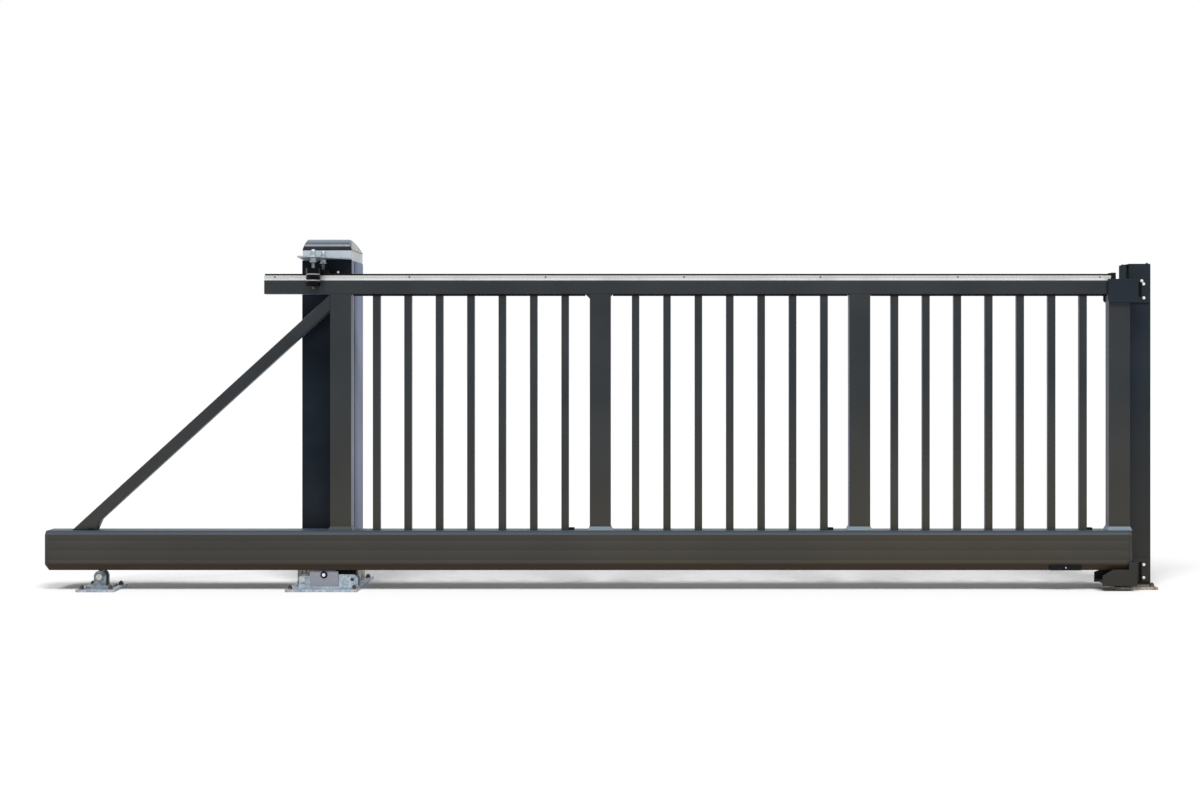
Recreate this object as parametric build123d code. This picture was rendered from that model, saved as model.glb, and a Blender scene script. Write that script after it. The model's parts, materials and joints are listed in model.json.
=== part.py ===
import os
from math import cos, radians, sin, tan

from build123d import *

# Cantilever sliding driveway gate in millimetres.
# X runs along the leaf towards the closing post, +Y points to the yard side, +Z is up.
# The origin is on the ground under the pivot of the main carriage, in the middle of the leaf.

# Leaf: overall
leaf_left = -1320.0

# Leaf: bottom track beam, an extrusion with a box on top and an open C track below
beam_bottom = 98.0
beam_height = 187.0
beam_depth = 130.0
beam_wall = 5.0
beam_top_chamfer_width = 15.0
beam_top_chamfer_height = 17.0
beam_low_chamfer_width = 12.0
beam_low_chamfer_height = 28.0
track_height = 100.0
slot_width = 46.0
lip_height = 16.0
lip_thickness = 4.0
end_cap_thickness = 16.0
end_cap_bevel_height = 29.0

# Leaf: stiles, rail and running strip
stile_width = 100.0
stile_depth = 60.0
stile_wall = 3.0
stile_count = 4
first_stile_x = 76.0
stile_pitch = 1236.5
foot_height = 18.0
foot_flare = 9.0
foot_rim = 1.0
wedge_depth = 50.0
stile_wedges = ((0.0, 8.0), (22.0, 10.0), (8.0, 8.0), (8.0, 0.0))
rail_bottom = 1410.0
rail_height = 65.0
rail_wall = 3.0
rail_overhang_left = -288.0
strip_height = 23.0
strip_lower_band = 9.0
strip_groove_height = 2.0
strip_groove_depth = 3.0
strip_set_back = 1.0
strip_stop_inset = 90.5
ridge_height = 6.0
ridge_depth = 30.0
end_stop_length = 24.0
end_stop_height = 20.0

# Leaf: infill
picket_size = 36.0
picket_wall = 2.0
pickets_per_bay = 7
picket_pitch = 150.0
picket_bar_height = 8.0
picket_bar_depth = 40.0

# Leaf: diagonal brace of the counterweight end
brace_width = 56.0
brace_depth = 50.0
brace_angle = 42.4
brace_toe_height = 50.0
brace_toe_run = 22.0

# Leaf: limit block on the lower flange and lead-in roller at the closing end
limit_block_inset = 316.5
limit_block_length = 150.0
limit_block_height = 27.0
limit_block_thickness = 6.0
lead_roller_inset = 44.0
lead_roller_radius = 19.0
lead_roller_width = 28.0
lead_side_gap = 1.0
lead_fork_wall = 6.0
lead_fork_flange = 12.0
lead_axle_radius = 6.0

# Running clearances
rolling_clearance = 0.3
pin_clearance = 0.05
leaf_clearance = 7.0

# Main carriage: plate on the ground, bracket, housing and bogie with twin wheels
plate_thickness = 12.0
main_plate_left = -175.0
main_plate_right = 165.0
main_plate_front = -97.0
main_plate_back = 372.0
anchor_hole_radius = 7.0
main_anchor_spacing_x = 304.0
main_anchor_front = -65.0
main_anchor_back = 310.0
bracket_thickness = 8.0
bracket_left = -121.0
bracket_right = 159.0
bracket_front = 40.0
bracket_foot_front = 62.0
ear_left_top = 69.0
ear_right_top = 76.0
ear_left_round = 12.0
ear_right_round = 26.0
ear_left_bolt = (-100.0, 50.0)
ear_right_hole = (133.0, 52.0)
ear_bolt_radius = 12.0
ear_bolt_head = 7.0
ear_hole_radius = 8.5
housing_width = 135.0
housing_depth = 90.0
housing_top = 91.0
housing_wall = 8.0
pivot_z = 75.0
pivot_radius = 9.0
pivot_ring_radius = 16.6
pivot_ring_thickness = 4.0
pivot_pin_proud = 3.0
spacer_corner_radius = 17.0
bogie_width = 26.0
bogie_half_length = 182.0
bogie_bar_height = 40.0
bogie_neck_length = 96.0
bogie_neck_below = 20.0
bogie_end_round = 19.0
wheel_radius = 42.0
wheel_width = 18.0
wheel_offset = 33.0
wheel_spacing = 270.0
axle_radius = 8.0
axle_collar_radius = 14.0

# Rear support: small plate with a round-topped fork, single axle
rear_x = -1072.0
rear_plate_length = 180.0
rear_plate_depth = 200.0
rear_anchor_spacing_x = 135.0
rear_anchor_spacing_y = 150.0
rear_pad_length = 118.0
rear_pad_depth = 110.0
rear_pad_thickness = 9.0
fork_radius = 29.0
fork_ear_thickness = 10.0
fork_ear_offset = 18.0
fork_pivot_z = 63.0
fork_bolt_radius = 10.0
hex_head_radius = 16.4
hex_head_thickness = 9.0
rear_neck_length = 20.0
rear_boss_radius = 20.0

# Drive cabinet, which is also the guide post behind the leaf
cabinet_x = -18.0
cabinet_width = 242.0
cabinet_front = 115.0
cabinet_depth = 300.0
cabinet_bottom = 110.0
cabinet_body_top = 1578.0
band_height = 50.0
band_inset = 2.0
lid_height = 56.0
lid_setback = 57.0
lid_side_draft = 19.0
lid_back_edge = 6.0
lid_brow_run = 0.3
lid_brow_rise = 0.68
lid_back_run = 0.58
lid_back_rise = 0.72
side_groove_width = 20.0
side_groove_depth = 4.0
side_groove_offset = 66.0
side_seam_width = 5.0
side_seam_offset = 128.0
cabinet_foot_width = 40.0
cabinet_foot_spread = 22.0
cabinet_foot_depth = 230.0

# Top guide: bracket on the cabinet, two rollers that pinch the rail
guide_plate_left = -37.0
guide_plate_bottom = 1510.0
guide_plate_thickness = 8.0
arm_bottom = 1582.0
arm_thickness = 7.0
arm_nose_left = -117.0
arm_nose_right = -30.0
arm_nose_front = -95.0
arm_flank = 25.0
front_roller_x = -47.0
rear_roller_x = -25.0
roller_radius = 33.5
roller_bottom = 1446.0
roller_height = 85.0
guide_bolt_radius = 8.0
guide_bolt_end = 13.0
guide_nut_radius = 13.86
guide_nut_height = 16.0
guide_flange_radius = 17.0
guide_flange_thickness = 7.0
guide_end_nut_height = 5.0
cap_nut_hex_height = 13.0
cap_nut_dome_radius = 11.4
cap_nut_dome_height = 13.0

# Closing post with its catches
post_gap = 26.0
post_width = 104.0
post_front = 70.0
post_depth = 165.0
post_wall = 4.0
post_top = 1555.0
post_cap_thickness = 5.0
post_groove_width = 36.0
post_groove_depth = 14.0
post_groove_offset = 8.0
post_plate_length = 205.0
post_plate_shift = 8.0
post_plate_front = -25.0
post_plate_back = 265.0
post_anchor_spacing_x = 165.0
post_anchor_front = 10.0
post_anchor_back = 243.0
catch_wall = 6.0
top_catch_reach = 107.5
top_catch_bottom = 1371.0
top_catch_top = 1482.0
top_catch_gap = 8.0
top_catch_end_gap = 29.5
top_catch_corner = 14.0
bottom_catch_reach = 143.5
bottom_catch_bottom = 26.0
bottom_catch_lip = 74.0
bottom_catch_ramp_run = 50.0
bottom_catch_shelf = 103.0
bottom_catch_step_inset = 18.5
bottom_catch_top = 139.0
bottom_catch_floor_start = 44.0
bottom_catch_end_gap = 14.5
catch_flange_margin = 6.0

# Derived heights and places
beam_top = beam_bottom + beam_height
web_bottom = beam_bottom + track_height
rail_top = rail_bottom + rail_height
axle_z = web_bottom - rolling_clearance - wheel_radius
stile_centres = [first_stile_x + i * stile_pitch for i in range(stile_count)]
leaf_right = stile_centres[-1] + stile_width / 2
strip_right = leaf_right - strip_stop_inset
limit_block_x = leaf_right - limit_block_inset
lead_roller_x = leaf_right - lead_roller_inset
cabinet_left = cabinet_x - cabinet_width / 2
cabinet_right = cabinet_x + cabinet_width / 2
cabinet_back = cabinet_front + cabinet_depth
guide_roller_y = stile_depth / 2 + rolling_clearance + roller_radius
post_left = leaf_right + post_gap
post_right = post_left + post_width
catch_flange_right = post_right - catch_flange_margin


def block(x0, x1, y0, y1, z0, z1):
    return Pos((x0 + x1) / 2, (y0 + y1) / 2, (z0 + z1) / 2) * Box(x1 - x0, y1 - y0, z1 - z0)


def rod_y(x, z, y0, y1, radius):
    return Pos(x, (y0 + y1) / 2, z) * Rot(90, 0, 0) * Cylinder(radius, y1 - y0)


def rod_z(x, y, z0, z1, radius):
    return Pos(x, y, (z0 + z1) / 2) * Cylinder(radius, z1 - z0)


def hex_y(x, z, y0, y1, corner_radius):
    return Pos(0, y0, 0) * extrude(Plane.XZ * Pos(x, z) * RegularPolygon(corner_radius, 6), amount=-(y1 - y0))


def hex_z(x, y, z0, z1, corner_radius):
    return extrude(Pos(x, y, z0) * RegularPolygon(corner_radius, 6), amount=z1 - z0)


def profile_along_x(points, x0, x1):
    face = make_face(Polyline(*points, close=True))
    return Pos(x0, 0, 0) * extrude(Plane.YZ * face, amount=x1 - x0)


def profile_along_y(points, y0, y1):
    face = make_face(Polyline(*points, close=True))
    return Pos(0, y0, 0) * extrude(Plane.XZ * face, amount=-(y1 - y0))


def profile_along_z(points, z0, z1):
    face = make_face(Polyline(*points, close=True))
    return Pos(0, 0, z0) * extrude(face, amount=z1 - z0)


def mirrored(points):
    """A half outline on the -Y side, given from the bottom up, with its mirror image."""
    return points + [(-y, z) for y, z in reversed(points)]


def beam_outline():
    half = beam_depth / 2
    return mirrored([
        (-half + beam_low_chamfer_width, beam_bottom),
        (-half, beam_bottom + beam_low_chamfer_height),
        (-half, beam_top - beam_top_chamfer_height),
        (-half + beam_top_chamfer_width, beam_top),
    ])


def track_beam():
    half = beam_depth / 2 - beam_wall
    lip_outer = slot_width / 2 + lip_thickness
    chamber = mirrored([
        (-half, web_bottom + beam_wall),
        (-half, beam_top - beam_top_chamfer_height),
        (-half + beam_top_chamfer_width - beam_wall / 2, beam_top - beam_wall),
    ])
    track = mirrored([
        (-slot_width / 2, beam_bottom - beam_wall),
        (-slot_width / 2, beam_bottom + lip_height),
        (-lip_outer, beam_bottom + lip_height),
        (-lip_outer, beam_bottom + beam_wall),
        (-half + beam_low_chamfer_width, beam_bottom + beam_wall),
        (-half, beam_bottom + beam_low_chamfer_height),
        (-half, web_bottom),
    ])
    x0 = leaf_left + end_cap_thickness
    x1 = leaf_right - end_cap_thickness
    solid = profile_along_x(beam_outline(), x0, x1)
    return solid - profile_along_x(chamber, x0, x1) - profile_along_x(track, x0, x1)


def end_cap(outer_x, direction):
    """Moulded cap that closes the beam, with its lower outer edge bevelled."""
    inner_x = outer_x + direction * end_cap_thickness
    cap = profile_along_x(beam_outline(), min(outer_x, inner_x), max(outer_x, inner_x))
    bevel = [
        (outer_x, beam_bottom),
        (inner_x, beam_bottom),
        (outer_x, beam_bottom + end_cap_bevel_height),
    ]
    return cap - profile_along_y(bevel, -beam_depth, beam_depth)


def rectangular_tube(width, depth, wall, z0, z1):
    outer = Rectangle(width, depth) - Rectangle(width - 2 * wall, depth - 2 * wall)
    return Pos(0, 0, z0) * extrude(outer, amount=z1 - z0)


def stile(index):
    """Tube between beam and rail, with a wedge in each corner below the rail."""
    x = stile_centres[index]
    solid = Pos(x, 0, 0) * rectangular_tube(stile_width, stile_depth, stile_wall, beam_top, rail_bottom)
    for side, size in zip((-1, 1), stile_wedges[index]):
        if size:
            edge = x + side * stile_width / 2
            corner = [(edge, rail_bottom - size), (edge + side * size, rail_bottom), (edge, rail_bottom)]
            solid += profile_along_y(corner, -wedge_depth / 2, wedge_depth / 2)
    return solid


def stile_foot(x):
    """Sloping collar round the foot of a stile, on top of the beam."""
    base = Pos(x, 0, beam_top) * Rectangle(stile_width + 2 * foot_flare, stile_depth + 2 * foot_flare)
    top = Pos(x, 0, beam_top + foot_height) * Rectangle(stile_width + 2 * foot_rim, stile_depth + 2 * foot_rim)
    hole = block(
        x - stile_width / 2, x + stile_width / 2, -stile_depth / 2, stile_depth / 2,
        beam_top - 1, beam_top + foot_height + 1,
    )
    return loft([base.face(), top.face()]) - hole


def top_rail():
    y = stile_depth / 2
    tube = block(rail_overhang_left, leaf_right, -y, y, rail_bottom, rail_top)
    inner = block(
        rail_overhang_left + rail_wall, leaf_right - rail_wall,
        -y + rail_wall, y - rail_wall, rail_bottom + rail_wall, rail_top - rail_wall,
    )
    return tube - inner


def running_strip():
    """Extruded strip with a lower band, a shallow groove and an upper band set back from it."""
    half = stile_depth / 2
    groove = rail_top + strip_lower_band
    outline = mirrored([
        (-half, rail_top),
        (-half, groove),
        (-half + strip_groove_depth, groove),
        (-half + strip_groove_depth, groove + strip_groove_height),
        (-half + strip_set_back, groove + strip_groove_height),
        (-half + strip_set_back, rail_top + strip_height),
    ])
    return profile_along_x(outline, rail_overhang_left, strip_right)


def strip_ridge():
    z = rail_top + strip_height
    return block(rail_overhang_left, strip_right, -ridge_depth / 2, ridge_depth / 2, z, z + ridge_height)


def rail_end_stop():
    y = stile_depth / 2
    return block(strip_right, strip_right + end_stop_length, -y, y, rail_top, rail_top + end_stop_height)


def picket_bay(index):
    centre = (stile_centres[index] + stile_centres[index + 1]) / 2
    first = centre - picket_pitch * (pickets_per_bay - 1) / 2
    picket = rectangular_tube(picket_size, picket_size, picket_wall, beam_top, rail_bottom - picket_bar_height)
    return Compound([Pos(first + i * picket_pitch, 0, 0) * picket for i in range(pickets_per_bay)])


def picket_bars():
    bars = []
    for index in range(stile_count - 1):
        bars.append(block(
            stile_centres[index] + stile_width / 2 + stile_wedges[index][1],
            stile_centres[index + 1] - stile_width / 2 - stile_wedges[index + 1][0],
            -picket_bar_depth / 2, picket_bar_depth / 2, rail_bottom - picket_bar_height, rail_bottom,
        ))
    return Compound(bars)


def diagonal_brace():
    """Tube from the beam up to the corner of the first stile and the rail, with a blunt toe."""
    stile_left = stile_centres[0] - stile_width / 2
    slope = tan(radians(brace_angle))
    heel_x = stile_left - (rail_bottom - beam_top) / slope
    lower_x = heel_x + brace_width / sin(radians(brace_angle))
    lower_z = rail_bottom - brace_width / cos(radians(brace_angle))
    toe_x = lower_x + brace_toe_height / slope
    outline = [
        (heel_x, beam_top),
        (toe_x - brace_toe_run, beam_top),
        (toe_x, beam_top + brace_toe_height),
        (stile_left, lower_z),
        (stile_left, rail_bottom),
    ]
    return profile_along_y(outline, -brace_depth / 2, brace_depth / 2)


def limit_block():
    """Block clamped on the sloping lower band of the beam, near its closing end."""
    half = beam_depth / 2
    lean = beam_low_chamfer_width / beam_low_chamfer_height * limit_block_height
    points = [
        (-half + beam_low_chamfer_width, beam_bottom),
        (-half + beam_low_chamfer_width - lean, beam_bottom + limit_block_height),
        (-half - limit_block_thickness, beam_bottom + limit_block_height),
        (-half - limit_block_thickness, beam_bottom + limit_block_thickness),
        (-half, beam_bottom),
    ]
    x0 = limit_block_x - limit_block_length / 2
    return profile_along_x(points, x0, x0 + limit_block_length)


def lead_fork():
    """Fork that hangs from the lips of the track and holds the lead-in roller."""
    inner = lead_roller_width / 2 + lead_side_gap
    z = beam_bottom - lead_roller_radius - leaf_clearance
    x0 = lead_roller_x - lead_roller_radius
    x1 = lead_roller_x + lead_roller_radius
    flange = slot_width / 2 + lead_fork_flange
    top = block(x0, x1, -flange, flange, beam_bottom - lead_fork_wall, beam_bottom)
    sides = []
    for side in (-1, 1):
        y = side * (inner + lead_fork_wall / 2)
        cheek = block(
            lead_roller_x - lead_axle_radius * 2, lead_roller_x + lead_axle_radius * 2,
            y - lead_fork_wall / 2, y + lead_fork_wall / 2, z - lead_axle_radius * 2, beam_bottom - lead_fork_wall,
        )
        sides.append(cheek)
    fork = top + sides[0] + sides[1]
    return fork - rod_y(lead_roller_x, z, -inner - lead_fork_wall - 1, inner + lead_fork_wall + 1, lead_axle_radius)


def lead_roller():
    inner = lead_roller_width / 2 + lead_side_gap
    z = beam_bottom - lead_roller_radius - leaf_clearance
    wheel = rod_y(lead_roller_x, z, -lead_roller_width / 2, lead_roller_width / 2, lead_roller_radius)
    axle = rod_y(lead_roller_x, z, -inner - lead_fork_wall, inner + lead_fork_wall, lead_axle_radius)
    return wheel + axle


def drilled_plate(x0, x1, y0, y1, holes):
    plate = block(x0, x1, y0, y1, 0, plate_thickness)
    for x, y in holes:
        plate -= rod_z(x, y, -1, plate_thickness + 1, anchor_hole_radius)
    return plate


def hole_grid(centre_x, spacing_x, y0, y1):
    return [(centre_x + side * spacing_x / 2, y) for side in (-1, 1) for y in (y0, y1)]


def main_base_plate():
    centre = (main_plate_left + main_plate_right) / 2
    holes = hole_grid(centre, main_anchor_spacing_x, main_anchor_front, main_anchor_back)
    return drilled_plate(main_plate_left, main_plate_right, main_plate_front, main_plate_back, holes)


def carriage_bracket():
    """Folded plate with an ear at each end, in front and behind the housing."""
    foot_top = plate_thickness + bracket_thickness
    bracket = block(
        bracket_left, bracket_right, -bracket_foot_front, bracket_foot_front, plate_thickness, foot_top,
    )
    for side in (-1, 1):
        y0, y1 = sorted((side * bracket_front, side * (bracket_front - bracket_thickness)))
        left = block(bracket_left, -housing_width / 2, y0, y1, foot_top, ear_left_top)
        right = block(housing_width / 2, bracket_right, y0, y1, foot_top, ear_right_top)
        left = fillet(left.edges().filter_by(Axis.Y).group_by(Axis.Z)[-1].sort_by(Axis.X)[0], ear_left_round)
        right = fillet(right.edges().filter_by(Axis.Y).group_by(Axis.Z)[-1].sort_by(Axis.X)[-1], ear_right_round)
        right -= rod_y(ear_right_hole[0], ear_right_hole[1], y0 - 1, y1 + 1, ear_hole_radius)
        left -= rod_y(ear_left_bolt[0], ear_left_bolt[1], y0 - 1, y1 + 1, ear_bolt_radius / 2)
        bracket += [left, right]
    return bracket


def carriage_housing():
    """U-shaped housing that carries the pivot of the bogie between its two cheeks."""
    half = housing_width / 2
    y = housing_depth / 2
    z0 = plate_thickness + bracket_thickness
    shell = block(-half, half, -y, y, z0, housing_top)
    room = block(-half - 1, half + 1, -y + housing_wall, y - housing_wall, z0 + housing_wall, housing_top + 1)
    return shell - room - rod_y(0, pivot_z, -y - 1, y + 1, pivot_radius)


def carriage_pivot():
    """Pivot pin with a round collar in front and a hexagonal nut at the back."""
    y = housing_depth / 2
    pin = rod_y(0, pivot_z, -y - pivot_ring_thickness - pivot_pin_proud, y, pivot_radius)
    front = rod_y(0, pivot_z, -y - pivot_ring_thickness, -y, pivot_ring_radius)
    back = hex_y(0, pivot_z, y, y + pivot_ring_thickness * 2, pivot_ring_radius)
    return pin + front + back


def pivot_spacers():
    inner = bogie_width / 2
    outer = housing_depth / 2 - housing_wall
    rings = []
    for side in (-1, 1):
        y0, y1 = sorted((side * inner, side * outer))
        sleeve = hex_y(0, pivot_z, y0, y1, spacer_corner_radius)
        rings.append(sleeve - rod_y(0, pivot_z, y0 - 1, y1 + 1, pivot_radius))
    return Compound(rings)


def bogie_frame():
    """Bar inside the track that carries both axles, with a neck down through the slot."""
    half = bogie_half_length
    bar = block(
        -half, half, -bogie_width / 2, bogie_width / 2, axle_z - bogie_bar_height / 2, axle_z + bogie_bar_height / 2,
    )
    bar = fillet(bar.edges().filter_by(Axis.Y), bogie_end_round)
    neck = block(
        -bogie_neck_length / 2, bogie_neck_length / 2, -bogie_width / 2, bogie_width / 2,
        pivot_z - bogie_neck_below, axle_z,
    )
    frame = bar + neck
    frame -= rod_y(0, pivot_z, -bogie_width, bogie_width, pivot_radius)
    for x in (-wheel_spacing / 2, wheel_spacing / 2):
        frame -= rod_y(x, axle_z, -bogie_width, bogie_width, axle_radius)
    return frame


def wheel(x, side):
    """Solid track wheel."""
    y0, y1 = sorted((side * wheel_offset, side * (wheel_offset + wheel_width)))
    return rod_y(x, axle_z, y0, y1, wheel_radius) - rod_y(x, axle_z, y0 - 1, y1 + 1, axle_radius)


def axle(x):
    """Axle with hexagonal collars that hold each wheel off the bogie bar."""
    end = wheel_offset + wheel_width
    shaft = rod_y(x, axle_z, -end, end, axle_radius)
    for side in (-1, 1):
        y0, y1 = sorted((side * bogie_width / 2, side * wheel_offset))
        shaft += hex_y(x, axle_z, y0, y1, axle_collar_radius)
    return shaft


def bogie_wheels():
    places = (-wheel_spacing / 2, wheel_spacing / 2)
    return Compound([wheel(x, side) for x in places for side in (-1, 1)])


def bogie_axles():
    return Compound([axle(x) for x in (-wheel_spacing / 2, wheel_spacing / 2)])


def rear_base_plate():
    holes = hole_grid(rear_x, rear_anchor_spacing_x, -rear_anchor_spacing_y / 2, rear_anchor_spacing_y / 2)
    half = rear_plate_length / 2
    return drilled_plate(rear_x - half, rear_x + half, -rear_plate_depth / 2, rear_plate_depth / 2, holes)


def rear_fork():
    """Pad with two round-topped ears that hold the rear pivot."""
    pad_top = plate_thickness + rear_pad_thickness
    fork = block(
        rear_x - rear_pad_length / 2, rear_x + rear_pad_length / 2,
        -rear_pad_depth / 2, rear_pad_depth / 2, plate_thickness, pad_top,
    )
    for side in (-1, 1):
        y0, y1 = sorted((side * fork_ear_offset, side * (fork_ear_offset + fork_ear_thickness)))
        ear = block(rear_x - fork_radius, rear_x + fork_radius, y0, y1, pad_top, fork_pivot_z)
        ear += rod_y(rear_x, fork_pivot_z, y0, y1, fork_radius)
        fork += ear
    return fork - rod_y(rear_x, fork_pivot_z, -rear_pad_depth, rear_pad_depth, fork_bolt_radius)


def rear_pivot_bolt():
    outer = fork_ear_offset + fork_ear_thickness
    bolt = rod_y(rear_x, fork_pivot_z, -outer, outer, fork_bolt_radius)
    bolt += hex_y(rear_x, fork_pivot_z, -outer - hex_head_thickness, -outer, hex_head_radius)
    bolt += hex_y(rear_x, fork_pivot_z, outer, outer + hex_head_thickness, hex_head_radius)
    return bolt


def rear_bogie():
    """Upright of the rear support: boss on the fork bolt, neck, and hub in the track."""
    half = fork_ear_offset
    body = rod_y(rear_x, fork_pivot_z, -half, half, rear_boss_radius)
    body += block(
        rear_x - rear_neck_length / 2, rear_x + rear_neck_length / 2, -bogie_width / 2, bogie_width / 2,
        fork_pivot_z, axle_z,
    )
    head = bogie_bar_height / 2
    body += block(
        rear_x - head, rear_x + head, -bogie_width / 2, bogie_width / 2, axle_z - head, axle_z + head,
    )
    body -= rod_y(rear_x, fork_pivot_z, -half - 1, half + 1, fork_bolt_radius)
    return body - rod_y(rear_x, axle_z, -bogie_width, bogie_width, axle_radius)


def rear_wheels():
    return Compound([wheel(rear_x, side) for side in (-1, 1)])


def cabinet_body():
    """Slim sheet housing of the drive, with a groove and a seam down each side."""
    body = block(cabinet_left, cabinet_right, cabinet_front, cabinet_back, cabinet_bottom, cabinet_body_top)
    for x, side in ((cabinet_left, 1), (cabinet_right, -1)):
        for offset, width in ((side_groove_offset, side_groove_width), (side_seam_offset, side_seam_width)):
            x0, x1 = sorted((x - side, x + side * side_groove_depth))
            y = cabinet_front + offset
            body -= block(x0, x1, y, y + width, cabinet_bottom - 1, cabinet_body_top + 1)
    return body


def cabinet_light_band():
    return block(
        cabinet_left + band_inset, cabinet_right - band_inset, cabinet_front + band_inset,
        cabinet_back - band_inset, cabinet_body_top, cabinet_body_top + band_height,
    )


def cabinet_lid():
    """Moulded lid: a rounded brow in front and a long curve that falls to the back."""
    z0 = cabinet_body_top + band_height
    z1 = z0 + lid_height
    front = cabinet_front
    crest = cabinet_front + lid_setback
    brow = ThreePointArc(
        (front, z0), (front + lid_setback * lid_brow_run, z0 + lid_height * lid_brow_rise), (crest, z1),
    )
    back = ThreePointArc(
        (crest, z1),
        (crest + (cabinet_back - crest) * lid_back_run, z0 + lid_height * lid_back_rise),
        (cabinet_back, z0 + lid_back_edge),
    )
    edge = Polyline((cabinet_back, z0 + lid_back_edge), (cabinet_back, z0), (front, z0))
    side = make_face(brow + back + edge)
    lid = Pos(cabinet_left, 0, 0) * extrude(Plane.YZ * side, amount=cabinet_width)
    for x, way in ((cabinet_left, 1), (cabinet_right, -1)):
        draft = [(x, z0), (x, z1 + 1), (x + way * lid_side_draft * (1 + 1 / lid_height), z1 + 1)]
        lid -= profile_along_y(draft, front - 1, cabinet_back + 1)
    return lid


def cabinet_foot(side):
    """Folded steel foot that stands under one side of the cabinet."""
    outer = cabinet_x + side * (cabinet_width / 2 + cabinet_foot_spread)
    inner = outer - side * cabinet_foot_width
    x0, x1 = sorted((outer, inner))
    back = cabinet_front + cabinet_foot_depth
    return block(x0, x1, cabinet_front, back, plate_thickness, cabinet_bottom)


def guide_mount_plate():
    return block(
        guide_plate_left, cabinet_right, cabinet_front - guide_plate_thickness, cabinet_front,
        guide_plate_bottom, arm_bottom,
    )


def guide_arm_plate():
    """Horizontal plate that reaches over the rail, cut back at an angle on one side."""
    outline = [
        (cabinet_left, cabinet_front),
        (arm_nose_left, arm_nose_front),
        (arm_nose_right, arm_nose_front),
        (cabinet_right, cabinet_front - arm_flank),
        (cabinet_right, cabinet_front),
    ]
    arm = profile_along_z(outline, arm_bottom, arm_bottom + arm_thickness)
    arm -= rod_z(front_roller_x, -guide_roller_y, arm_bottom - 1, arm_bottom + arm_thickness + 1, guide_bolt_radius)
    return arm - rod_z(rear_roller_x, guide_roller_y, arm_bottom - 1, arm_bottom + arm_thickness + 1, guide_bolt_radius)


def guide_bolt(x, y):
    """Spindle of a guide roller: end nut, flange and nut below the arm, flange and cap nut above it."""
    roller_end = roller_bottom - rolling_clearance
    arm_top = arm_bottom + arm_thickness
    cap_base = arm_top + guide_flange_thickness
    dome_base = cap_base + cap_nut_hex_height
    nut_base = arm_bottom - guide_nut_height
    bolt = rod_z(x, y, roller_end - guide_bolt_end, cap_base, guide_bolt_radius)
    bolt += hex_z(x, y, roller_end - guide_end_nut_height, roller_end, guide_nut_radius)
    bolt += rod_z(x, y, nut_base - guide_flange_thickness, nut_base, guide_flange_radius)
    bolt += hex_z(x, y, nut_base, arm_bottom, guide_nut_radius)
    bolt += rod_z(x, y, arm_top, cap_base, guide_flange_radius)
    bolt += hex_z(x, y, cap_base, dome_base, guide_nut_radius)
    return bolt + rod_z(x, y, dome_base, dome_base + cap_nut_dome_height, cap_nut_dome_radius)


def guide_roller(x, y):
    """Plastic roller on its spindle."""
    top = roller_bottom + roller_height
    bore = guide_bolt_radius + pin_clearance
    return rod_z(x, y, roller_bottom, top, roller_radius) - rod_z(x, y, roller_bottom - 1, top + 1, bore)


def closing_post():
    """Hollow post with a slot down each side, near the front edge."""
    post = block(post_left, post_right, post_front, post_front + post_depth, plate_thickness, post_top)
    post -= block(
        post_left + post_wall + post_groove_depth, post_right - post_wall - post_groove_depth,
        post_front + post_wall, post_front + post_depth - post_wall, plate_thickness - 1, post_top + 1,
    )
    for x, side in ((post_left, 1), (post_right, -1)):
        x0, x1 = sorted((x - side, x + side * post_groove_depth))
        y = post_front + post_groove_offset
        post -= block(x0, x1, y, y + post_groove_width, plate_thickness - 1, post_top + 1)
    return post


def post_cap():
    return block(
        post_left, post_right, post_front, post_front + post_depth, post_top,
        post_top + post_cap_thickness,
    )


def post_base_plate():
    centre = post_left + post_plate_shift
    half = post_plate_length / 2
    holes = hole_grid(centre, post_anchor_spacing_x, post_anchor_front, post_anchor_back)
    return drilled_plate(centre - half, centre + half, post_plate_front, post_plate_back, holes)


def top_catch():
    """U-shaped catch that takes the end of the leaf, screwed to the front of the post."""
    z0, z1 = top_catch_bottom, top_catch_top
    front = -stile_depth / 2 - top_catch_gap
    back = stile_depth / 2 + top_catch_gap
    left = leaf_right - top_catch_reach
    web = leaf_right + top_catch_end_gap
    catch = block(left, web + catch_wall, front - catch_wall, front, z0, z1)
    catch += block(web, web + catch_wall, front, post_front, z0, z1)
    catch += block(left, web, back, back + catch_wall, z0, z1)
    catch += block(web + catch_wall, catch_flange_right, post_front - catch_wall, post_front, z0, z1)
    corners = catch.edges().filter_by(Axis.Y).group_by(Axis.X)[0].group_by(Axis.Z)[0]
    return fillet(corners, top_catch_corner)


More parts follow.
